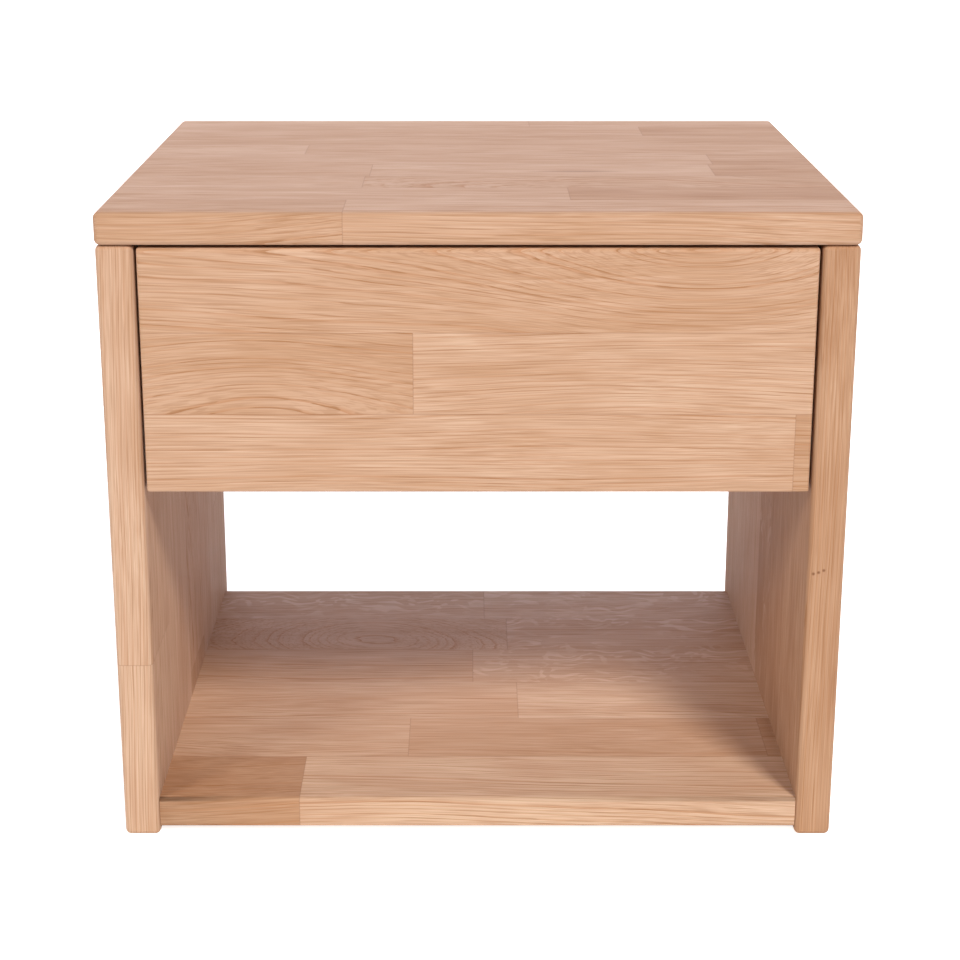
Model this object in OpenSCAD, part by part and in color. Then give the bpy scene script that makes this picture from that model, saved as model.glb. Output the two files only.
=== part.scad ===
// Nightstand of glued oak staves with one inset drawer above an open compartment.
// Millimetres. +X is right, the front faces -Y and +Z is up.
// The origin is on the floor, under the middle of the top panel.

/* [Overall] */
// Width over the side panels
overall_w = 500; // [400:5:700]
// Depth of the top panel
overall_d = 400; // [330:5:560]
// Height from the floor to the top surface
overall_h = 450; // [370:5:600]

/* [Panels] */
// Thickness of the top panel
top_t = 22; // [18:1:32]
// Thickness of the side panels
side_t = 25; // [20:1:32]
// How far the side panels stand back from the top panel's front and back edges
side_setback = 2; // [0:0.5:10]
// Thickness of the bottom shelf
shelf_t = 22; // [18:1:30]
// Height of the bottom shelf's underside above the floor
shelf_lift = 6; // [2:1:60]
// How far the shelf stands back from the side panels' front edges
shelf_front_setback = 2; // [0:0.5:20]
// How far the shelf stops short of the side panels' back edges
shelf_back_setback = 14; // [0:1:40]
// Thickness of the rail behind the drawer
rail_t = 18; // [16:1:25]
// Height of the rail behind the drawer
rail_h = 170; // [80:5:200]

/* [Rounded edges] */
// Radius of the edges of the top and side panels
edge_r = 4; // [1:0.5:6]
// Radius of the side panels' bottom edges
foot_r = 5; // [1:0.5:8]
// Radius of the shelf's upper front edge and of the drawer front's upper edge
nose_r = 3; // [1:0.5:5]
// Radius of the other edges of the shelf and of the drawer front
small_r = 1.5; // [0.5:0.5:3]

/* [Drawer] */
// Height of the drawer front
drawer_front_h = 168; // [110:1:180]
// Thickness of the drawer front
drawer_front_t = 20; // [16:1:25]
// Gap between the drawer front and the top panel
drawer_top_gap = 2; // [1:0.5:6]
// Gap between the drawer front and each side panel
drawer_side_gap = 2; // [1:0.5:4]
// Thickness of the drawer box boards
box_t = 12; // [10:1:15]
// Height of the drawer box's lower edge above the drawer front's lower edge
box_lift = 14; // [8:1:24]
// Height of the drawer front's upper edge above the drawer box's upper edge
box_drop = 24; // [8:1:36]
// Thickness of the drawer bottom
bottom_t = 6; // [4:0.5:8]
// Depth of the grooves that hold the drawer bottom
groove_d = 5; // [3:0.5:6]
// Height of the drawer bottom above the drawer box's lower edge
bottom_lift = 10; // [8:1:16]

/* [Slides] */
// Space that a slide takes between the cabinet and the drawer box
slide_w = 12.7; // [12.7:0.1:14]
// Height of a slide
slide_h = 45; // [45:0.5:50]
// Height of a slide's middle above the drawer box's lower edge
slide_lift = 62; // [36:1:80]
// Step between the lengths that slides are stocked in
slide_step = 50; // [25:25:50]
// Sheet thickness of the slide rails
slide_gauge = 1.2; // [1:0.1:1.4]

/* [Fittings] */
// Diameter of the dowels
dowel_d = 8; // [6:1:10]
// Length of the dowels
dowel_l = 35; // [30:1:40]
// Diameter of the cam discs
cam_d = 15; // [12:1:15]
// Diameter of the wood screws
screw_d = 4; // [3:0.5:4.5]

/* [Hidden] */
$fn = 64;

// Colours
oak = "BurlyWood";
ply = "Wheat";
beech = "Tan";
steel = "Silver";
zinc = "Gainsboro";

// Fits: what a hole is larger than its piece, all round, and how far a cut runs past a face
hole_fit = 0.1;
glue_gap = 0.05;
past = 1;

// Carcass
side_h = overall_h - top_t;
side_front = -overall_d / 2 + side_setback;
side_back = overall_d / 2 - side_setback;
inner_x = overall_w / 2 - side_t;
shelf_front = side_front + shelf_front_setback;
shelf_back = side_back - shelf_back_setback;
rail_front = side_back - rail_t;
rail_bottom = side_h - rail_h;

// Fittings. A cam's frame has its origin on the board's face, +Z out of the board and
// +X towards the joint, where the bolt crosses into the other board.
cam_depth = 12.5;
cam_axis_depth = 8;
cam_reach = 34;
bolt_thread_d = 7;
bolt_thread_l = 11;
bolt_shank_d = 6;
bolt_neck_d = 3.6;
bolt_neck_l = 5;
bolt_head_l = 3;
bolt_bore_d = 8;
dowel_chamfer = 1;
dowel_in_face = 13;
cam_inset = 85;
dowel_inset = 40;
rail_dowel_inset = 35;
cross_w = 1;
screw_head_d = 2 * screw_d;
screw_head_l = 0.6 * screw_d;
screw_tip_l = 3;
cabinet_screw_l = 16;
drawer_screw_l = 11;
front_screw_l = 25;

// Drawer
drawer_front_w = 2 * (inner_x - drawer_side_gap);
drawer_front_top = side_h - drawer_top_gap;
drawer_front_bottom = drawer_front_top - drawer_front_h;
box_front = side_front + drawer_front_t;
box_bottom = drawer_front_bottom + box_lift;
box_h = drawer_front_h - box_lift - box_drop;
box_x = inner_x - slide_w;
bottom_z = box_bottom + bottom_lift;
front_screw_inset_x = 55;
front_screw_inset_z = 28;

// Dovetails: tails on the box sides, pins on the inner front and the back
tail_pitch = 32;
tail_w = 20;
tail_slope = 1 / 6;
tail_count = floor(box_h / tail_pitch);
tail_step = box_h / tail_count;

// Slides. In a slide's section, u runs from the cabinet side towards the drawer and v is
// the height from the slide's middle.
slide_front_gap = 2;
slide_rear_gap = 3;
slide_front = box_front + slide_front_gap;
slide_l = slide_step * floor((rail_front - slide_rear_gap - slide_front) / slide_step);
slide_z = box_bottom + slide_lift;
travel_reserve = 20;
travel = slide_l - travel_reserve;
ball_gap = 0.05;
ball_pitch = 16.5;
cage_t = 0.6;
cage_margin = 5;
cage_l = slide_l - travel / 2 - 2 * cage_margin;
cage_front = slide_front + travel / 4 + cage_margin;
outer_ball_d = 4.7;
outer_ball_u = 5.3;
outer_ball_v = slide_h / 2 - slide_gauge - ball_gap - outer_ball_d / 2;
outer_cage_u = 1.7;
outer_cage_w = 6.5;
lip_u = 8.4;
middle_u = 3.1;
middle_v = outer_ball_v - outer_ball_d / 2 - ball_gap;
middle_rim = 1.4;
middle_lip = 2;
inner_ball_d = 3.5;
inner_ball_u = 7.4;
inner_ball_v = middle_v - slide_gauge - ball_gap - inner_ball_d / 2;
inner_cage_u = 4.7;
inner_cage_w = 4.9;
inner_lip_u = 9.8;
drawer_rail_v = inner_ball_v - inner_ball_d / 2 - ball_gap;
drawer_rail_u = 5.9;
slide_screw_pitch = 128;
slide_screw_first = 37;
drawer_screw_shift = 20;
slide_screw_last = 20;

// The drawer box reaches as far back as its slides
box_d = slide_l;
box_back = box_front + box_d;

// A rectangle with its lower left corner at the origin and its own radius at each corner:
// lower left, lower right, upper right, upper left
module rounded_rect(w, h, r) {
    corners = [[0, 0, 0], [w, 0, 90], [w, h, 180], [0, h, 270]];
    difference() {
        square([w, h]);
        for (i = [0:3])
            if (r[i] > 0)
                translate([corners[i][0], corners[i][1]])
                    rotate(corners[i][2])
                        difference() {
                            translate([-past, -past]) square(r[i] + past);
                            translate([r[i], r[i]]) circle(r[i]);
                        }
    }
}

// A board with its lower front left corner at the origin. Each list gives the radii of
// the four edges along one axis, going round its end from the lower or front left corner.
module board(size, along_x, along_y, along_z) {
    intersection() {
        linear_extrude(size[2]) rounded_rect(size[0], size[1], along_z);
        translate([0, size[1], 0])
            rotate([90, 0, 0])
                linear_extrude(size[1]) rounded_rect(size[0], size[2], along_y);
        rotate([90, 0, 90])
            linear_extrude(size[0]) rounded_rect(size[1], size[2], along_x);
    }
}

// Both halves of something symmetric about the middle plane, drawn on the left
module both_sides() {
    children();
    mirror([1, 0, 0]) children();
}

// ---- Fittings ----

// Grooved dowel along Z, with its middle plane at the joint. A gap makes its hole.
module dowel(gap = 0) {
    r = dowel_d / 2 + gap;
    low = -dowel_in_face - 4 * gap;
    high = dowel_l - dowel_in_face + 4 * gap;
    translate([0, 0, low]) cylinder(h = dowel_chamfer, r1 = r - dowel_chamfer / 2, r2 = r);
    translate([0, 0, low + dowel_chamfer]) cylinder(h = high - low - 2 * dowel_chamfer, r = r);
    translate([0, 0, high - dowel_chamfer])
        cylinder(h = dowel_chamfer, r1 = r, r2 = r - dowel_chamfer / 2);
}

// Cross recess for a driver, cut into a face at z = 0
module cross_recess(w, depth) {
    for (turn = [0, 90])
        rotate([0, 0, turn])
            translate([-w / 2, -cross_w / 2, -depth]) cube([w, cross_w, depth + past]);
}

// Cam disc, with a slot for the bolt's head
module cam_disc() {
    difference() {
        translate([0, 0, -cam_depth]) cylinder(h = cam_depth, d = cam_d);
        translate([-bolt_shank_d / 2, 0, -cam_axis_depth])
            rotate([0, 90, 0]) cylinder(h = cam_d, d = bolt_shank_d + 4 * hole_fit);
        cross_recess(cam_d / 2, 2);
    }
}

// Cam bolt, from its head in the cam to the end of its thread in the other board
module cam_bolt() {
    neck = bolt_head_l + bolt_neck_l;
    translate([-bolt_head_l / 2, 0, -cam_axis_depth])
        rotate([0, 90, 0]) {
            cylinder(h = bolt_head_l, d = bolt_shank_d);
            translate([0, 0, bolt_head_l]) cylinder(h = bolt_neck_l, d = bolt_neck_d);
            translate([0, 0, neck])
                cylinder(h = cam_reach + bolt_head_l / 2 - neck, d = bolt_shank_d);
            translate([0, 0, cam_reach + bolt_head_l / 2])
                cylinder(h = bolt_thread_l, d = bolt_thread_d);
        }
}

// Holes for a cam disc and for the bolt, in both boards
module cam_holes() {
    translate([0, 0, -cam_depth - 2 * hole_fit])
        cylinder(h = cam_depth + 2 * hole_fit + past, d = cam_d + 2 * hole_fit);
    translate([0, 0, -cam_axis_depth])
        rotate([0, 90, 0]) cylinder(h = cam_reach, d = bolt_bore_d);
    translate([cam_reach, 0, -cam_axis_depth])
        rotate([0, 90, 0])
            cylinder(h = bolt_thread_l + hole_fit, d = bolt_thread_d + 2 * hole_fit);
}

// Countersunk wood screw, driven along -Z from its head at z = 0. A gap makes its hole.
module screw(length, gap = 0) {
    difference() {
        union() {
            translate([0, 0, -screw_head_l])
                cylinder(h = screw_head_l, r1 = screw_d / 2 + gap, r2 = screw_head_d / 2 + gap);
            translate([0, 0, -length + screw_tip_l])
                cylinder(h = length - screw_tip_l - screw_head_l, r = screw_d / 2 + gap);
            translate([0, 0, -length - gap])
                cylinder(h = screw_tip_l + gap, r1 = screw_d / 8 + gap, r2 = screw_d / 2 + gap);
        }
        if (gap == 0) cross_recess(screw_d, screw_head_l * 0.7);
    }
}

// ---- Where the fittings go ----

module top_cam_places() {
    both_sides()
        for (y = [side_front + cam_inset, side_back - cam_inset])
            translate([-inner_x, y, side_h - cam_reach]) rotate(a = 180, v = [1, 0, 1]) children();
}

module top_dowel_places() {
    both_sides()
        for (y = [side_front + dowel_inset, side_back - dowel_inset])
            translate([-inner_x - side_t / 2, y, side_h]) rotate([180, 0, 0]) children();
}

module shelf_cam_places() {
    both_sides()
        for (y = [shelf_front + cam_inset, shelf_back - cam_inset])
            translate([-inner_x + cam_reach, y, shelf_lift]) rotate([180, 0, 180]) children();
}

module shelf_dowel_places() {
    both_sides()
        for (y = [shelf_front + dowel_inset, shelf_back - dowel_inset])
            translate([-inner_x, y, shelf_lift + shelf_t / 2]) rotate([0, 90, 0]) children();
}

module rail_cam_places() {
    both_sides()
        translate([-inner_x + cam_reach, rail_front, rail_bottom + rail_h / 2])
            rotate([90, 180, 0]) children();
}

module rail_dowel_places() {
    both_sides()
        for (z = [rail_bottom + rail_dowel_inset, side_h - rail_dowel_inset])
            translate([-inner_x, rail_front + rail_t / 2, z]) rotate([0, 90, 0]) children();
}

function slide_screw_ys(first) =
    [for (y = [first : slide_screw_pitch : slide_l - slide_screw_last]) slide_front + y];

module cabinet_screw_places() {
    both_sides()
        for (y = slide_screw_ys(slide_screw_first))
            translate([-inner_x + slide_gauge, y, slide_z]) rotate([0, 90, 0]) children();
}

module drawer_screw_places() {
    both_sides()
        for (y = slide_screw_ys(slide_screw_first + drawer_screw_shift))
            translate([-box_x - slide_gauge, y, slide_z]) rotate([0, -90, 0]) children();
}

module front_screw_places() {
    for (x = [-1, 1] * (box_x - front_screw_inset_x))
        for (z = [box_bottom + front_screw_inset_z, box_bottom + box_h - front_screw_inset_z])
            translate([x, box_front + box_t, z]) rotate([-90, 0, 0]) children();
}

// ---- Carcass ----

// Lies on the side panels, with every edge rounded
module top_panel() {
    r = [edge_r, edge_r, edge_r, edge_r];
    color(oak)
        difference() {
            translate([-overall_w / 2, -overall_d / 2, side_h])
                board([overall_w, overall_d, top_t], r, r, r);
            top_cam_places() cam_holes();
            top_dowel_places() dowel(hole_fit);
        }
}

// Stands on the floor and carries the top, the shelf, the back rail and a slide
module left_side_panel() {
    r = [edge_r, edge_r, edge_r, edge_r];
    foot = [foot_r, foot_r, edge_r, edge_r];
    color(oak)
        difference() {
            translate([-overall_w / 2, side_front, 0])
                board([side_t, side_back - side_front, side_h], foot, foot, r);
            top_cam_places() cam_holes();
            top_dowel_places() dowel(hole_fit);
            shelf_cam_places() cam_holes();
            shelf_dowel_places() dowel(hole_fit);
            rail_cam_places() cam_holes();
            rail_dowel_places() dowel(hole_fit);
            cabinet_screw_places() screw(cabinet_screw_l, hole_fit);
        }
}

module right_side_panel() {
    mirror([1, 0, 0]) left_side_panel();
}

// Between the sides, just above the floor
module bottom_shelf() {
    color(oak)
        difference() {
            translate([-inner_x, shelf_front, shelf_lift])
                board(
                    [2 * inner_x, shelf_back - shelf_front, shelf_t],
                    [small_r, small_r, small_r, nose_r], [0, 0, 0, 0], [0, 0, 0, 0]
                );
            shelf_cam_places() cam_holes();
            shelf_dowel_places() dowel(hole_fit);
        }
}

// Between the sides under the top, behind the drawer, to keep the cabinet square
module back_rail() {
    color(oak)
        difference() {
            translate([-inner_x, rail_front, rail_bottom])
                board(
                    [2 * inner_x, rail_t, rail_h],
                    [small_r, small_r, 0, 0], [0, 0, 0, 0], [0, 0, 0, 0]
                );
            rail_cam_places() cam_holes();
            rail_dowel_places() dowel(hole_fit);
        }
}

module top_dowels() { color(beech) top_dowel_places() dowel(); }
module top_cam_bolts() { color(steel) top_cam_places() cam_bolt(); }
module top_cam_discs() { color(zinc) top_cam_places() cam_disc(); }
module shelf_dowels() { color(beech) shelf_dowel_places() dowel(); }
module shelf_cam_bolts() { color(steel) shelf_cam_places() cam_bolt(); }
module shelf_cam_discs() { color(zinc) shelf_cam_places() cam_disc(); }
module rail_dowels() { color(beech) rail_dowel_places() dowel(); }
module rail_cam_bolts() { color(steel) rail_cam_places() cam_bolt(); }
module rail_cam_discs() { color(zinc) rail_cam_places() cam_disc(); }

// ---- Slides ----

// A slide section carried along Y, on the left side of the cabinet
module slide_bar(y, length) {
    translate([-inner_x, y + length, slide_z])
        rotate([90, 0, 0])
            linear_extrude(length) children();
}

// The upper and lower halves of a slide section
module up_and_down() {
    children();
    mirror([0, 1]) children();
}

// Channel with its lips turned in over the outer balls
module cabinet_rail_section() {
    translate([0, -slide_h / 2]) square([slide_gauge, slide_h]);
    up_and_down() {
        translate([0, slide_h / 2 - slide_gauge]) square([lip_u + slide_gauge, slide_gauge]);
        translate([lip_u, outer_ball_v]) square([slide_gauge, slide_h / 2 - outer_ball_v]);
    }
}

// Channel with rims for the outer balls and lips for the inner balls
module middle_rail_section() {
    translate([middle_u, -middle_v]) square([slide_gauge, 2 * middle_v]);
    up_and_down() {
        translate([middle_u, middle_v - slide_gauge])
            square([inner_lip_u + slide_gauge - middle_u, slide_gauge]);
        translate([lip_u, middle_v - slide_gauge]) square([slide_gauge, middle_rim + slide_gauge]);
        translate([inner_lip_u, middle_v - slide_gauge - middle_lip])
            square([slide_gauge, middle_lip + slide_gauge]);
    }
}

// Channel that runs inside the inner balls, screwed to the drawer box
module drawer_rail_section() {
    translate([slide_w - slide_gauge, -drawer_rail_v]) square([slide_gauge, 2 * drawer_rail_v]);
    up_and_down() {
        translate([drawer_rail_u, drawer_rail_v - slide_gauge])
            square([slide_w - drawer_rail_u, slide_gauge]);
        translate([inner_lip_u, drawer_rail_v - slide_gauge])
            square([slide_gauge, 2 * slide_gauge]);
    }
}

// Thin channel whose flanges lie in the planes of the ball centres
module cage_section(u, w, v) {
    difference() {
        translate([u, -v - cage_t / 2]) square([w, 2 * v + cage_t]);
        translate([u + cage_t, -v + cage_t / 2]) square([w, 2 * v - cage_t]);
    }
}

// Where a cage's balls go, in two rows
module ball_places(u, v) {
    for (y = [cage_front + ball_pitch / 2 : ball_pitch : cage_front + cage_l - ball_pitch / 2])
        for (side = [-1, 1])
            translate([-inner_x + u, y, slide_z + side * v]) children();
}

module ball_cage(u, w, v, ball_d) {
    difference() {
        slide_bar(cage_front, cage_l) cage_section(u, w, v);
        ball_places(u == outer_cage_u ? outer_ball_u : inner_ball_u, v)
            cylinder(h = 4 * cage_t, d = ball_d + 2 * hole_fit, center = true);
    }
}

module left_cabinet_rail() {
    color(steel)
        difference() {
            slide_bar(slide_front, slide_l) cabinet_rail_section();
            cabinet_screw_places() screw(cabinet_screw_l, hole_fit);
        }
}

module right_cabinet_rail() { mirror([1, 0, 0]) left_cabinet_rail(); }

module slide_cabinet_screws() {
    color(zinc) cabinet_screw_places() screw(cabinet_screw_l);
}

module left_middle_rail() {
    color(steel) slide_bar(slide_front, slide_l) middle_rail_section();
}

module right_middle_rail() { mirror([1, 0, 0]) left_middle_rail(); }

module left_outer_ball_cage() {
    color(zinc) ball_cage(outer_cage_u, outer_cage_w, outer_ball_v, outer_ball_d);
}

module right_outer_ball_cage() { mirror([1, 0, 0]) left_outer_ball_cage(); }

module left_outer_balls() {
    color(steel) ball_places(outer_ball_u, outer_ball_v) sphere(d = outer_ball_d);
}

module right_outer_balls() { mirror([1, 0, 0]) left_outer_balls(); }

module left_inner_ball_cage() {
    color(zinc) ball_cage(inner_cage_u, inner_cage_w, inner_ball_v, inner_ball_d);
}

module right_inner_ball_cage() { mirror([1, 0, 0]) left_inner_ball_cage(); }

module left_inner_balls() {
    color(steel) ball_places(inner_ball_u, inner_ball_v) sphere(d = inner_ball_d);
}

module right_inner_balls() { mirror([1, 0, 0]) left_inner_balls(); }

module left_drawer_rail() {
    color(steel)
        difference() {
            slide_bar(slide_front, slide_l) drawer_rail_section();
            drawer_screw_places() screw(drawer_screw_l, hole_fit);
        }
}

module right_drawer_rail() { mirror([1, 0, 0]) left_drawer_rail(); }

module slide_drawer_screws() {
    color(zinc) drawer_screw_places() screw(drawer_screw_l);
}

// ---- Drawer ----

// Inset between the sides, with its upper edge softened
module drawer_front() {
    r = [small_r, small_r, small_r, small_r];
    color(oak)
        difference() {
            translate([-drawer_front_w / 2, side_front, drawer_front_bottom])
                board(
                    [drawer_front_w, drawer_front_t, drawer_front_h],
                    [small_r, small_r, small_r, nose_r], r, r
                );
            front_screw_places() screw(front_screw_l, hole_fit);
        }
}

// The tails of one end of a box side, as an outline: x runs from the tails' roots to the
// end of the board, and y is the height in the box. A gap widens them into the sockets.
module tail_outline(gap = 0) {
    narrow = tail_w / 2 - tail_slope * box_t + gap;
    flare = tail_slope * (gap > 0 ? past : 0);
    reach = box_t + (gap > 0 ? past : 0);
    start = gap > 0 ? -past : 0;
    for (i = [0 : tail_count - 1])
        translate([0, (i + 0.5) * tail_step])
            polygon([
                [start, -narrow + flare], [reach, -tail_w / 2 - gap - flare],
                [reach, tail_w / 2 + gap + flare], [start, narrow - flare]
            ]);
}

// Sockets for the tails, at both ends of a cross board whose inner face is at y
module tail_sockets(y, outwards) {
    both_sides()
        translate([-box_x - past, y, box_bottom])
            mirror([0, outwards < 0 ? 1 : 0, 0])
                rotate([90, 0, 90])
                    linear_extrude(box_t + past + glue_gap) tail_outline(glue_gap);
}

// The drawer bottom's space in the grooves
module bottom_space(gap = 0) {
    x = box_x - box_t + groove_d;
    front = box_front + box_t - groove_d;
    back = box_back - box_t + groove_d;
    translate([-x - gap, front - gap, bottom_z - gap])
        cube([2 * (x + gap), back - front + 2 * gap, bottom_t + 2 * gap]);
}

module drawer_inner_front() {
    color(oak)
        difference() {
            translate([-box_x, box_front, box_bottom]) cube([2 * box_x, box_t, box_h]);
            tail_sockets(box_front + box_t, -1);
            bottom_space(hole_fit);
            front_screw_places() screw(front_screw_l, hole_fit);
        }
}

module drawer_back() {
    color(oak)
        difference() {
            translate([-box_x, box_back - box_t, box_bottom]) cube([2 * box_x, box_t, box_h]);
            tail_sockets(box_back - box_t, 1);
            bottom_space(hole_fit);
        }
}

module drawer_left_side() {
    color(oak)
        difference() {
            translate([-box_x, 0, box_bottom])
                rotate([90, 0, 90])
                    linear_extrude(box_t) {
                        translate([box_front + box_t, 0]) square([box_d - 2 * box_t, box_h]);
                        translate([box_back - box_t, 0]) tail_outline();
                        translate([box_front + box_t, 0]) mirror([1, 0]) tail_outline();
                    }
            bottom_space(hole_fit);
            drawer_screw_places() screw(drawer_screw_l, hole_fit);
        }
}

module drawer_right_side() { mirror([1, 0, 0]) drawer_left_side(); }

// Oak plywood, loose in its grooves
module drawer_bottom() {
    color(ply) bottom_space();
}

module drawer_front_screws() {
    color(zinc) front_screw_places() screw(front_screw_l);
}

top_panel();
left_side_panel();
right_side_panel();
bottom_shelf();
back_rail();
top_dowels();
top_cam_bolts();
top_cam_discs();
shelf_dowels();
shelf_cam_bolts();
shelf_cam_discs();
rail_dowels();
rail_cam_bolts();
rail_cam_discs();
left_cabinet_rail();
right_cabinet_rail();
slide_cabinet_screws();
left_middle_rail();
right_middle_rail();
left_outer_ball_cage();
right_outer_ball_cage();
left_outer_balls();
right_outer_balls();
left_inner_ball_cage();
right_inner_ball_cage();
left_inner_balls();
right_inner_balls();
left_drawer_rail();
right_drawer_rail();
slide_drawer_screws();
drawer_front();
drawer_inner_front();
drawer_left_side();
drawer_right_side();
drawer_back();
drawer_bottom();
drawer_front_screws();
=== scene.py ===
import math
import random
from functools import partial

import bmesh
import bpy
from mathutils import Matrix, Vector


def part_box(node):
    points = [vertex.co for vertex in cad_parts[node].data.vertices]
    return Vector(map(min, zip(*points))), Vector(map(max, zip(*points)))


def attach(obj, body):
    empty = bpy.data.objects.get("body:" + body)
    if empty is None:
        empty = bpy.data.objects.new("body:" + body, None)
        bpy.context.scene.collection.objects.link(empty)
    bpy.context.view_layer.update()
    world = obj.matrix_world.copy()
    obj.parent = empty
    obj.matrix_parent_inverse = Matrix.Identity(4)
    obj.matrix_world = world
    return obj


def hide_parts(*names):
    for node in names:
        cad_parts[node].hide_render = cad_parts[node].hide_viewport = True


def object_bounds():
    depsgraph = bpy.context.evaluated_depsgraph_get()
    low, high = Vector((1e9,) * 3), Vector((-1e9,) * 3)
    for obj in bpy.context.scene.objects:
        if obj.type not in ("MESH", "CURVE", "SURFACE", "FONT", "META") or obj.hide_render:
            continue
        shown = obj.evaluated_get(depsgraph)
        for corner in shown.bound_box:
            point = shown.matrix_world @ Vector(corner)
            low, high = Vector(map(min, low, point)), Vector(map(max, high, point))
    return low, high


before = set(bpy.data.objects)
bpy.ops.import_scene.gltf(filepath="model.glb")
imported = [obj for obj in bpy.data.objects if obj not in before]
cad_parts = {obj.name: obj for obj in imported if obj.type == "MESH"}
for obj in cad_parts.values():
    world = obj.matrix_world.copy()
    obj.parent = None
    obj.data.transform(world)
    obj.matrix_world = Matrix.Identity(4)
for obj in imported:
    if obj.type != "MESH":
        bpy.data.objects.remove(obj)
cad_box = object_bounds()


# --- Top panel ------------------------------------------------------------------------------
# Solid oak, 22 mm thick. Staves about 44 mm wide are glued edge to edge with staggered butt
# joints, then the panel is planed, rounded on every edge, sanded and oiled.

MM = 0.001
X, Y, Z = range(3)
SHARP = math.radians(60)    # an edge that turns by more is still square
QUARTER = 10                # how far in degrees a quarter-sawn face may be from the rays
BROAD = 0.7                 # a broad face's normal has at least this share across the board
FAR = 9000                  # mm, further than any board reaches


def srgb(code):
    """The linear colour of a hex code such as #C9946B."""
    parts = [int(code[i:i + 2], 16) / 255 for i in (1, 3, 5)]
    return [c / 12.92 if c <= 0.04045 else ((c + 0.055) / 1.055) ** 2.4 for c in parts] + [1]


def add(tree, kind, inputs=(), out=0, stops=(), **settings):
    """Adds a shader node with its settings, and gives one of its outputs. The inputs go in
    order or by name, and each is a plain value or an output of another node."""
    node = tree.nodes.new("ShaderNode" + kind)
    for name, value in settings.items():
        setattr(node, name, value)
    for key, value in inputs.items() if isinstance(inputs, dict) else enumerate(inputs):
        if isinstance(value, bpy.types.NodeSocket):
            tree.links.new(value, node.inputs[key])
        else:
            node.inputs[key].default_value = value
    for number, (at, code) in enumerate(stops):
        elements = node.color_ramp.elements
        stop = elements[number] if number < len(elements) else elements.new(at)
        stop.position = at
        stop.color = srgb(code)
    return node.outputs[out]


def bent_trunk(node, in_log, seed, rise):
    """Where a point lies in a trunk that isn't straight, and how far from its pith, in mm.
    rise is how far the rings bow."""
    # The grain wanders by up to 8 mm over the length of a stave. The seed, from 0 to 1, says
    # where along 900 mm of one endless trunk that is.
    up, cross, deep = node("SeparateXYZ", [in_log]).node.outputs
    far_up = node("Math", [seed, 900.0, up], operation="MULTIPLY_ADD")
    place = node("CombineXYZ", [far_up, cross, deep])
    near_place = node("VectorMath", [place, (350, 90, 90)], operation="DIVIDE")
    wander = node("TexNoise", {"Vector": near_place, "Scale": 1, "Detail": 1}, 1, normalize=False)
    place = node("VectorMath", [wander, (0, 8, 8), place], operation="MULTIPLY_ADD")

    # The rings bow within about 240 mm, which draws arches on a flat-sawn face
    square = node("Math", [up, up], operation="MULTIPLY")
    bow = node("Math", [square, 120 ** 2], operation="ADD")
    bow = node("Math", [square, bow], operation="DIVIDE")
    bow = node("Math", [bow, rise], operation="MULTIPLY")
    bow = node("CombineXYZ", [0, 0, bow])
    radius = node("VectorMath", [place, (0, 1, 1), bow], operation="MULTIPLY_ADD")
    radius = node("VectorMath", [radius], 1, operation="LENGTH")

    # They also waver by about 1 mm within 80 mm
    near_place = node("VectorMath", [place, (80, 9, 9)], operation="DIVIDE")
    waver = node("TexNoise", {"Vector": near_place, "Scale": 1, "Detail": 2})
    return place, node("Math", [waver, 1.6, radius], operation="MULTIPLY_ADD")


def growth_rings(node, radius, seed):
    """Rings about 2.4 mm wide. Each opens with a dark row of pores, which is 1 here, and fades
    into dense pale wood, which is 0. Some years are darker than others."""
    year = node("Math", [radius, 2.4], operation="DIVIDE")
    first = node("Math", [seed, 57.0, year], operation="MULTIPLY_ADD")
    sort = node("TexNoise", {"W": first, "Scale": 0.45, "Detail": 2}, noise_dimensions="1D")
    season = node("Math", [sort, 2.0, year], operation="MULTIPLY_ADD")
    season = node("Math", [season], operation="FRACT")
    ring = node("MapRange", [season, 0, 0.4, 1, 0])
    dark_year = node("MapRange", [sort, 0.35, 0.62, 0.25, 1])
    return node("Math", [ring, dark_year], operation="MULTIPLY")


def pore_lines(node, place, radius, ring):
    """Pores cut lengthwise are dark lines 20 to 60 mm long, and most are in the dark part of
    a ring. Real ones are 0.3 mm wide, and these are about 0.6 mm, so that they show."""
    up, cross, deep = node("SeparateXYZ", [place]).node.outputs
    turned = node("Math", [deep, cross], operation="ARCTAN2")
    turned = node("Math", [turned, 100.0], operation="MULTIPLY")
    near_place = node("CombineXYZ", [up, radius, turned])
    near_place = node("VectorMath", [near_place, (50, 0.55, 3)], operation="DIVIDE")
    pores = node("TexNoise", {"Vector": near_place, "Scale": 1, "Detail": 1})
    pores = node("MapRange", [pores, 0.49, 0.6, 0, 1])
    in_ring = node("Math", [ring, 0.65, 0.35], operation="MULTIPLY_ADD")
    return node("Math", [pores, in_ring], operation="MULTIPLY")


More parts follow.
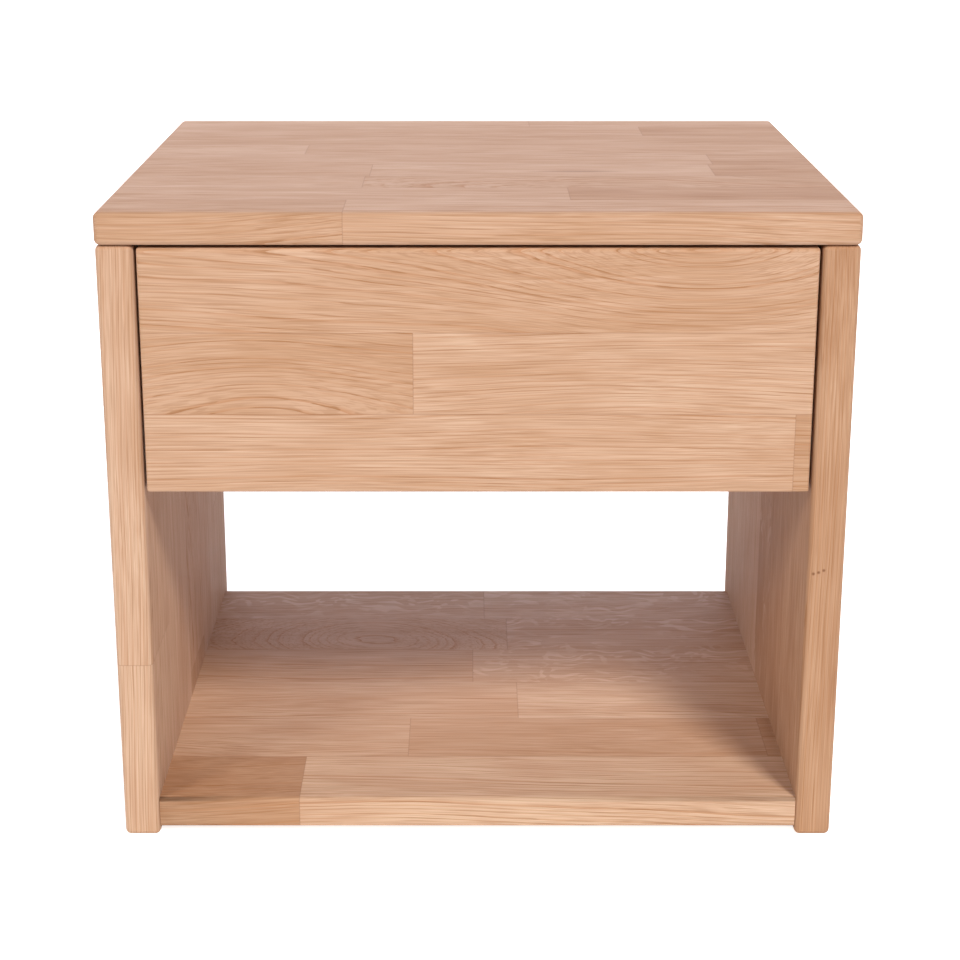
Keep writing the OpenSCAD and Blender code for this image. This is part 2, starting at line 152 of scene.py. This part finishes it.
def ray_flecks(node, place, quarter):
    """Rays are thin sheets from pith to bark. Only a quarter-sawn face runs along them, and
    shows them in patches, as pale silky ribbons about 3 mm wide that curl across the grain."""
    near_place = node("VectorMath", [place, (34, 40, 40)], operation="DIVIDE")
    curl = node("TexNoise", {"Vector": near_place, "Scale": 1, "Detail": 0}, 1, normalize=False)
    near_place = node("VectorMath", [curl, (0, 18, 18), place], operation="MULTIPLY_ADD")
    near_place = node("VectorMath", [near_place, (30, 4.5, 4.5)], operation="DIVIDE")
    rays = node("TexNoise", {"Vector": near_place, "Scale": 1, "Detail": 0})
    rays = node("MapRange", [rays, 0.55, 0.63, 0, 1])
    near_place = node("VectorMath", [place, (70, 30, 30)], operation="DIVIDE")
    patch = node("TexNoise", {"Vector": near_place, "Scale": 1, "Detail": 1})
    patch = node("MapRange", [patch, 0.4, 0.6, 0, 1])
    patch = node("Math", [patch, quarter], operation="MULTIPLY")
    return node("Math", [rays, patch], operation="MULTIPLY")


def oak(name, grain=None, seed=0.0, tone=0.5, spots=()):
    """Oiled European oak, worked out from where each point lay in its log, in mm: X runs up
    the trunk, Y and Z cross it, and the pith is at their zero. Boards glued from staves carry
    that place on their mesh. A board in one piece gives the axis that its grain follows. spots
    are dark spots on one board, each with its middle, its half size in mm and its strength."""
    made = bpy.data.materials.new(name)
    made.use_nodes = True
    node = partial(add, made.node_tree)
    link = made.node_tree.links.new
    shader = made.node_tree.nodes["Principled BSDF"]
    here = node("TexCoord", out=3)

    if grain is None:
        in_log = node("Attribute", out=1, attribute_name="log_place")
        stave = node("Attribute", out=1, attribute_name="stave")
        seed, tone, rise = node("SeparateXYZ", [stave]).node.outputs
        end_grain = node("Attribute", out=2, attribute_name="end_grain")
        quarter = node("Attribute", out=2, attribute_name="quarter")
        joints = node("Attribute", attribute_name="joints").node.outputs
        near = node("SeparateColor", [joints[0]]).node.outputs
        joint = node("Math", [near[0], near[1]], operation="MINIMUM")
        butt = node("Math", [near[2], joints[3]], operation="MINIMUM")
        joint = node("Math", [joint, butt], operation="MINIMUM")
    else:
        # Its pith lies below the floor, so its rings are nearly flat
        turn = -math.pi / 2 if grain == Y else 0
        in_log = node("Mapping", [here, (0, 70, 60), (0, 0, turn), (1 / MM, 1 / MM, 1 / MM)])
        facing = node("SeparateXYZ", [node("TexCoord", out=1)], grain)
        end_grain = node("Math", [facing, 2.0], operation="POWER")
        rise, joint, quarter = 0.0, FAR, 0.0
    place, radius = bent_trunk(node, in_log, seed, rise)
    ring = growth_rings(node, radius, seed)
    pores = pore_lines(node, place, radius, ring)
    rays = ray_flecks(node, place, quarter)
    near_place = node("VectorMath", [place, (200, 0.9, 0.9)], operation="DIVIDE")
    fibre = node("TexNoise", {"Vector": near_place, "Scale": 1, "Detail": 3})

    # Staves differ as a whole, from red-brown to straw, and cloud over about 90 mm
    near_place = node("VectorMath", [place, (90, 20, 20)], operation="DIVIDE")
    cloud = node("TexNoise", {"Vector": near_place, "Scale": 1, "Detail": 2}, normalize=False)
    tint = node("Math", [cloud, 0.2, tone], operation="MULTIPLY_ADD")
    streak = node("Math", [fibre, 0.5], operation="SUBTRACT")
    tint = node("Math", [streak, 0.9, tint], operation="MULTIPLY_ADD")
    colour = node("ValToRGB", [tint], stops=[
        (0.0, "#A98062"), (0.35, "#BC977A"), (0.65, "#C7A58C"), (1.0, "#D6BAA2")])
    # End grain drinks more oil and is darker, and a glue line is a hair-thin dark seam
    glue = node("MapRange", [joint, 0, 0.5, 1, 0])
    for mask, strength, code in ((ring, 0.7, "#B27F58"), (pores, 0.65, "#91653F"),
                                 (rays, 0.32, "#E6CAB4"), (end_grain, 0.4, "#99694A"),
                                 (glue, 0.35, "#7A4E33")):
        mask = node("Math", [mask, strength], operation="MULTIPLY")
        colour = node("Mix", {0: mask, 6: colour, 7: srgb(code)}, 2, data_type="RGBA")
    for middle, half_size, strength in spots:
        away = node("VectorMath", [here, middle], operation="SUBTRACT")
        away = node("VectorMath", [away, [h * MM for h in half_size]], operation="DIVIDE")
        away = node("VectorMath", [away], 1, operation="LENGTH")
        mask = node("MapRange", [away, 0.3, 1, strength, 0])
        colour = node("Mix", {0: mask, 6: colour, 7: srgb("#6E4027")}, 2, data_type="RGBA")
    link(colour, shader.inputs["Base Color"])

    # Oil leaves a soft sheen on dense wood and rays, and less in the open pores
    rough = node("Math", [pores, 0.2, 0.62], operation="MULTIPLY_ADD")
    rough = node("Math", [rays, -0.08, rough], operation="MULTIPLY_ADD")
    link(rough, shader.inputs["Roughness"])
    shader.inputs["IOR"].default_value = 1.28
    relief = node("Math", [fibre, 0.3], operation="MULTIPLY")
    relief = node("Math", [relief, pores], operation="SUBTRACT")
    bump = {"Strength": 0.3, "Distance": 0.15 * MM, "Height": relief}
    link(node("Bump", bump), shader.inputs["Normal"])
    return made


def rounded_block(low, high, rounding):
    """A block between two corners. rounding gives (which edges, radius in mm) in turn."""
    bm = bmesh.new()
    bmesh.ops.create_cube(bm, size=1)
    bmesh.ops.scale(bm, vec=high - low, verts=bm.verts)
    bmesh.ops.translate(bm, vec=(low + high) / 2, verts=bm.verts)
    for chosen, radius in rounding:
        sharp = [e for e in bm.edges if e.calc_face_angle() > SHARP and chosen(e)]
        bmesh.ops.bevel(bm, geom=sharp, offset=radius * MM, offset_type="OFFSET", segments=5,
                        profile=0.5, affect="EDGES", material=-1, clamp_overlap=True)
    return bm


def cut(bm, geom, axis, place):
    """Cuts part of a mesh by a plane across one axis."""
    normal = Vector([float(n == axis) for n in range(3)])
    bmesh.ops.bisect_plane(bm, geom=geom, plane_co=normal * place, plane_no=normal)


def row_of(face, across, edges):
    """The number of the row of staves that a face is in."""
    return sum(face.calc_center_median()[across] > edge for edge in edges[1:-1])


def drawn_log(seed, row, part):
    """A stave's own seed, and how it lay in its log, drawn in the order that lay has."""
    pick = random.Random(1000 * seed + 50 * row + part)
    own_seed = pick.random()
    limits = ((35, 72), (70, 150), (-25, 25), (-0.03, 0.03), (-12, 12), (-200, 200))
    return own_seed, [pick.uniform(least, most) for least, most in limits]


def mark_staves(bm, middle, grain, across, rows, edges, seed, lay):
    """Gives each stave its place in its own log, its tone and its distance from its joints."""
    thick = 3 - grain - across
    log_place = bm.loops.layers.float_vector.new("log_place")
    near_joint = bm.loops.layers.float_color.new("joints")
    stave = bm.faces.layers.float_vector.new("stave")
    end_grain = bm.faces.layers.float.new("end_grain")
    quarter = bm.faces.layers.float.new("quarter")
    for face in bm.faces:
        row = row_of(face, across, edges)
        tones, joints = rows[row][1][0::2], rows[row][1][1::2]
        part = sum(face.calc_center_median()[grain] > joint * MM for joint in joints)
        own_seed, drawn = drawn_log(seed, row, part)
        turn, away, offset, lean, rise, bow_at = lay.get((row, part), drawn)
        face[quarter] = float(abs(turn - 90) < QUARTER and abs(face.normal[thick]) > BROAD)
        turn = math.radians(turn)
        face[stave] = Vector((own_seed, tones[part], rise))
        face[end_grain] = face.normal[grain] ** 2
        ends = [-FAR] + joints + [FAR]
        for loop in face.loops:
            at = (loop.vert.co - middle) / MM
            up = at[grain] - bow_at
            side = (loop.vert.co[across] - (edges[row] + edges[row + 1]) / 2) / MM
            cross = side * math.cos(turn) - at[thick] * math.sin(turn) + offset + lean * up
            deep = side * math.sin(turn) + at[thick] * math.cos(turn) + away
            loop[log_place] = Vector((up, cross, deep))
            # The outer faces of the board aren't joints, so they count as far away
            before = (loop.vert.co[across] - edges[row]) / MM + FAR * (row == 0)
            after = (edges[row + 1] - loop.vert.co[across]) / MM + FAR * (row == len(rows) - 1)
            along = loop.vert.co[grain] / MM
            loop[near_joint] = (before, after, along - ends[part], ends[part + 1] - along)


def stave_board(node, body, made, grain, across, rows, seed, rounding, lay=None):
    """A board glued from rows of staves, in the place of a CAD board. rows starts at the low
    side of the across axis and gives (width, [tone, joint, tone, ...]), where a tone is from
    0, red-brown, to 1, straw, and a butt joint is its place along the grain in mm. lay says
    how chosen staves lay in their log, as (turn in degrees, pith distance, offset, lean, rise
    of the bow, place of the bow)."""
    low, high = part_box(node)
    bm = rounded_block(low, high, rounding)

    # Cut the surface along every glue line and butt joint
    share = (high[across] - low[across]) / sum(width for width, tones in rows)
    edges = [low[across]]
    for width, tones in rows:
        edges.append(edges[-1] + width * share)
    for edge in edges[1:-1]:
        cut(bm, bm.verts[:] + bm.edges[:] + bm.faces[:], across, edge)
    for row, (width, tones) in enumerate(rows):
        for joint in tones[1::2]:
            faces = [f for f in bm.faces if row_of(f, across, edges) == row]
            around = {e for f in faces for e in f.edges} | {v for f in faces for v in f.verts}
            cut(bm, list(around) + faces, grain, joint * MM)
    mark_staves(bm, (low + high) / 2, grain, across, rows, edges, seed, lay or {})

    mesh = bpy.data.meshes.new(node)
    bm.to_mesh(mesh)
    bm.free()
    mesh.shade_smooth()
    mesh.materials.append(made)
    board = bpy.data.objects.new(node + "_staves", mesh)
    bpy.context.collection.objects.link(board)
    board.modifiers.new("flat faces stay flat", "WEIGHTED_NORMAL")
    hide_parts(node)
    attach(board, body)
    return board


def every_edge(edge):
    """The test that each edge passes."""
    return True


# A thin streak of dark heartwood shows in one stave of the top
streak = ((0.073, -0.047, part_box("top_panel")[1].z), (40, 2.8, 3), 0.55)
streaky_oak = oak("oiled oak with a dark streak", spots=[streak])
top_rows = [(44, [0.4, -88, 0.55]), (44, [0.55, 62, 0.25]), (44, [0.55, -80, 0.4]),
            (48, [0.42, -77, 0.62, 170, 0.3]), (44, [0.52, 174, 0.35]), (44, [0.65, -131, 0.5]),
            (44, [0.4]), (48, [0.52, 134, 0.28]), (36, [0.62, 44, 0.58])]
top_lay = {(2, 1): (14, 60, 14, 0.1, 18, 110), (5, 1): (50, 110, -20, 0.02, 10, 40)}
stave_board("top_panel", "carcass", streaky_oak, X, Y, top_rows, 3, [(every_edge, 4)], top_lay)


# --- Side panels ----------------------------------------------------------------------------
# Solid oak, 25 mm thick, glued from upright staves. They stand on the floor, and the top lies
# on them. The right one is redder, and has a row of pin knots in its front edge.

oiled_oak = oak("oiled oak")
left_rows = [(75, [0.74, 131, 0.64]), (94, [0.72, 300, 0.56]), (74, [0.3, 47, 0.52]),
             (80, [0.56, 260, 0.66]), (73, [0.5, 130, 0.6])]
right_rows = [(92, [0.22]), (60, [0.15, 330, 0.3]), (58, [0.1, 190, 0.25]),
              (125, [0.5, 290, 0.3]), (61, [0.4])]
stave_board("left_side_panel", "carcass", oiled_oak, Z, Y, left_rows, 11, [(every_edge, 4)])

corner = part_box("right_side_panel")[0]
knots = [((corner.x + dx * MM, corner.y, dz * MM), (1.5, 1.5, 1.5), 0.75)
         for dx, dz in ((4, 199), (7.5, 200), (11, 201.5))]
red_oak_side = oak("oiled oak with pin knots", spots=knots)
right_lay = {(2, 0): (86, 80, 0, -0.02, 10, 100), (3, 0): (74, 100, 5, 0.03, 0, 60)}
stave_board("right_side_panel", "carcass", red_oak_side, Z, Y, right_rows, 23, [(every_edge, 4)],
            right_lay)


# --- Bottom shelf ---------------------------------------------------------------------------
# Solid oak, 22 mm thick, held between the sides by dowels and cam bolts, 6 mm off the floor.
# Its back rows are mostly quarter-sawn, with ray flecks. The upper front edge is eased most.


def lengthwise(edge):
    """Whether an edge runs from side to side of the cabinet."""
    a, b = (v.co for v in edge.verts)
    return abs(b.x - a.x) > 50 * MM


def upper_front(low, high):
    """The test that only the upper front edge of a board passes, from the board's corners."""
    def chosen(edge):
        a, b = (v.co for v in edge.verts)
        return lengthwise(edge) and min(a.z, b.z) > high.z - MM and max(a.y, b.y) < low.y + MM
    return chosen


low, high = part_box("bottom_shelf")
shelf_rows = [(63, [0.2, -126, 0.78]), (63, [0.68, -51, 0.5, 215, 0.3]), (64, [0.66, 32, 0.8]),
              (63, [0.56, -3, 0.66]), (64, [0.52, 26, 0.58]), (63, [0.55, 7, 0.66])]
shelf_lay = {(1, 1): (80, 110, 4, 0.01, 4, 0), (3, 1): (89, 90, 4, 0.02, 3, 60),
             (4, 0): (12, 30, 4, 0.05, 60, -87), (4, 1): (90, 80, 0, -0.03, 5, 120),
             (5, 0): (84, 100, 6, 0.02, 4, -60), (5, 1): (91, 75, 2, 0.04, -5, 100)}
stave_board("bottom_shelf", "carcass", oiled_oak, X, Y, shelf_rows, 31,
            [(upper_front(low, high), 3), (lengthwise, 1.5)], shelf_lay)


# --- Back rail ------------------------------------------------------------------------------
# Solid oak, 18 mm thick, between the sides behind the drawer. It keeps the cabinet square
# and hides the back of the drawer. The compartment below it is open at the back.

rail_rows = [(44, [0.5, -60, 0.4]), (42, [0.6, 90, 0.45]), (44, [0.35]), (40, [0.5, -130, 0.6])]
stave_board("back_rail", "carcass", oiled_oak, X, Z, rail_rows, 41, [(lengthwise, 1.5)])


# --- Drawer front ---------------------------------------------------------------------------
# Solid oak, 20 mm thick, glued from three rows of wide staves. It has no handle: fingers pull
# its lower edge from the open compartment. Its upper front edge is rounded most.

low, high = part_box("drawer_front")
front_rows = [(55, [0.6, 212, 0.3]), (56, [0.45, -43, 0.62]), (57, [0.48])]
# The figure of the upper stave arches in its right half, where the trunk was crooked
front_lay = {(0, 0): (50, 110, 10, 0.0, 3, 0), (1, 0): (40, 90, -10, 0.0, 10, -150),
             (2, 0): (8, 58, -80, 0.0, 50, 150)}
stave_board("drawer_front", "drawer", oiled_oak, X, Z, front_rows, 53,
            [(upper_front(low, high), 3), (every_edge, 1.5)], front_lay)


# --- Drawer box -----------------------------------------------------------------------------
# Oak boards 12 mm thick, dovetailed at the corners and glued, with a thin oak plywood bottom
# in grooves. Each board is one piece, so its grain runs its whole length.


def finish_node(name, made):
    """Gives a CAD piece its finish."""
    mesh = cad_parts[name].data
    mesh.materials.clear()
    mesh.materials.append(made)


box_front = oak("drawer box oak, grain across", X, 0.37, 0.62)
box_side = oak("drawer box oak, grain front to back", Y, 0.71, 0.56)
finish_node("drawer_inner_front", box_front)
finish_node("drawer_back", box_front)
finish_node("drawer_left_side", box_side)
finish_node("drawer_right_side", box_side)
finish_node("drawer_bottom", oak("oak plywood, clear lacquer", X, 0.18, 0.78))


# --- Slides ---------------------------------------------------------------------------------
# Two telescopic slides of rolled steel sheet, zinc plated. Each has a cabinet rail, a middle
# rail and a drawer rail, which run on two rows of hard steel balls in stamped cages.


def metal(name, code, rough, mark_size):
    """Bare or plated metal, a little uneven in colour and gloss. mark_size is the size in mm
    of the marks that rolling, casting or tumbling left, along X, Y and Z."""
    made = bpy.data.materials.new(name)
    made.use_nodes = True
    node = partial(add, made.node_tree)
    link = made.node_tree.links.new
    shader = made.node_tree.nodes["Principled BSDF"]
    shader.inputs["Metallic"].default_value = 1.0
    per_metre = [1 / (size * MM) for size in mark_size]
    here = node("Mapping", [node("TexCoord", out=3), (0, 0, 0), (0, 0, 0), per_metre])
    mark = node("TexNoise", {"Vector": here, "Scale": 1, "Detail": 3})
    dull = [0.8 * c for c in srgb(code)]
    colour = node("Mix", {0: mark, 6: dull, 7: srgb(code)}, 2, data_type="RGBA")
    link(colour, shader.inputs["Base Color"])
    link(node("MapRange", [mark, 0, 1, rough - 0.06, rough + 0.1]), shader.inputs["Roughness"])
    bump = {"Strength": 0.15, "Distance": 0.05 * MM, "Height": mark}
    link(node("Bump", bump), shader.inputs["Normal"])
    return made


plated_sheet = metal("zinc-plated steel sheet", "#C4C6C6", 0.36, (0.5, 35, 0.5))
stamped_cage = metal("stamped cage strip", "#B9B29A", 0.42, (3, 3, 3))
bearing_steel = metal("polished bearing steel", "#D2D2D2", 0.12, (2, 2, 2))
for side in ("left", "right"):
    for rail in ("cabinet_rail", "middle_rail", "drawer_rail"):
        finish_node(f"{side}_{rail}", plated_sheet)
    for row in ("outer", "inner"):
        finish_node(f"{side}_{row}_ball_cage", stamped_cage)
        finish_node(f"{side}_{row}_balls", bearing_steel)


# --- Fittings -------------------------------------------------------------------------------
# Beech dowels line the boards up and cam bolts pull them together. The cam discs are die-cast
# zinc, and the bolts and screws are steel with a thin bright zinc plating.


def beech(name):
    """Turned beech: pale pink-brown, with dark flecks 3 mm long and 0.7 mm wide. They run
    along X, as the dowels of the shelf and the rail do."""
    made = bpy.data.materials.new(name)
    made.use_nodes = True
    node = partial(add, made.node_tree)
    shader = made.node_tree.nodes["Principled BSDF"]
    shader.inputs["Roughness"].default_value = 0.6
    here = node("Mapping", [node("TexCoord", out=3), (0, 0, 0), (0, 0, 0), (300, 1400, 1400)])
    fleck = node("TexNoise", {"Vector": here, "Scale": 1, "Detail": 2})
    colour = node("ValToRGB", [fleck], stops=[
        (0.35, "#A9785A"), (0.55, "#D3AC8B"), (1.0, "#E0BF9F")])
    made.node_tree.links.new(colour, shader.inputs["Base Color"])
    return made


dowel_beech = beech("turned beech")
die_cast = metal("die-cast zinc", "#A7A7A3", 0.48, (0.8, 0.8, 0.8))
plated_screw = metal("bright zinc plating on steel", "#C9CBD0", 0.3, (0.6, 0.6, 0.6))
for joint in ("top", "shelf", "rail"):
    finish_node(joint + "_dowels", dowel_beech)
    finish_node(joint + "_cam_bolts", plated_screw)
    finish_node(joint + "_cam_discs", die_cast)
for screws in ("slide_cabinet_screws", "slide_drawer_screws", "drawer_front_screws"):
    finish_node(screws, plated_screw)


# --- Studio ---------------------------------------------------------------------------------
# A white floor, a white room that is brightest behind the cabinet, and two soft warm lights:
# one from the right of the camera and a weaker one from further left.

floor_mesh = bpy.data.meshes.new("floor")
bm = bmesh.new()
bmesh.ops.create_grid(bm, x_segments=1, y_segments=1, size=20)
bm.to_mesh(floor_mesh)
bm.free()
floor = bpy.data.objects.new("floor", floor_mesh)
bpy.context.collection.objects.link(floor)
white = bpy.data.materials.new("white studio floor")
white.use_nodes = True
shader = white.node_tree.nodes["Principled BSDF"]
shader.inputs["Base Color"].default_value = (0.93, 0.93, 0.93, 1)
shader.inputs["Roughness"].default_value = 0.9
shader.inputs["Emission Color"].default_value = (1, 1, 1, 1)
# It glows, so that it looks pure white, but only a little of that glow lights the cabinet
seen = add(white.node_tree, "LightPath")
glow = add(white.node_tree, "Math", [seen, 0.6, 0.2], operation="MULTIPLY_ADD")
white.node_tree.links.new(glow, shader.inputs["Emission Strength"])
floor_mesh.materials.append(white)

# The room looks white all round, and its light comes most from low behind the cabinet
sky = bpy.data.worlds.new("white room")
sky.use_nodes = True
background = sky.node_tree.nodes["Background"]
direction = add(sky.node_tree, "TexCoord")
low_behind = add(sky.node_tree, "VectorMath", [direction, (0, 1, -0.5)], 1,
                 operation="DOT_PRODUCT")
level = add(sky.node_tree, "MapRange", [low_behind, -0.3, 0.7, 0.17, 1.95])
cool = add(sky.node_tree, "VectorMath", [srgb("#E9ECFF")[:3], level], operation="MULTIPLY")
seen = add(sky.node_tree, "LightPath")
colour = add(sky.node_tree, "Mix", {0: seen, 6: cool, 7: (1, 1, 1, 1)}, 2, data_type="RGBA")
sky.node_tree.links.new(colour, background.inputs[0])
bpy.context.scene.world = sky


def soft_light(name, azimuth, elevation, share, width):
    """A soft, slightly warm light far away. The azimuth is 0 in front and grows to the right,
    and share is how bright it makes a white surface that faces it."""
    data = bpy.data.lights.new(name, "SUN")
    data.color = srgb("#FFF6EA")[:3]
    data.energy = share * math.pi
    data.angle = math.radians(width)
    light = bpy.data.objects.new(name, data)
    light.rotation_euler = (math.radians(90 - elevation), 0, math.radians(azimuth))
    bpy.context.collection.objects.link(light)


soft_light("right front light", 26, 44, 0.78, 14)
soft_light("left front light", -47, 32, 0.33, 18)

# The camera looks down on the cabinet from the front, with its lens shifted downwards, which
# keeps the upright edges closer to parallel
BESIDE = -0.005     # metres from the middle, to the left
BEFORE = 1.213      # metres before the cabinet's front
ABOVE = 0.242       # metres above its top
LOOKS_DOWN = 15.55  # degrees
low, high = cad_box
camera_data = bpy.data.cameras.new("camera")
camera_data.sensor_width = 36
camera_data.lens = 71.6
camera_data.shift_x = 0.01
camera_data.shift_y = -0.13
camera = bpy.data.objects.new("camera", camera_data)
camera.location = (BESIDE, low[1] - BEFORE, high[2] + ABOVE)
camera.rotation_euler = (math.radians(90 - LOOKS_DOWN), 0, 0)
bpy.context.collection.objects.link(camera)
bpy.context.scene.camera = camera
bpy.context.scene.view_settings.view_transform = "Standard"
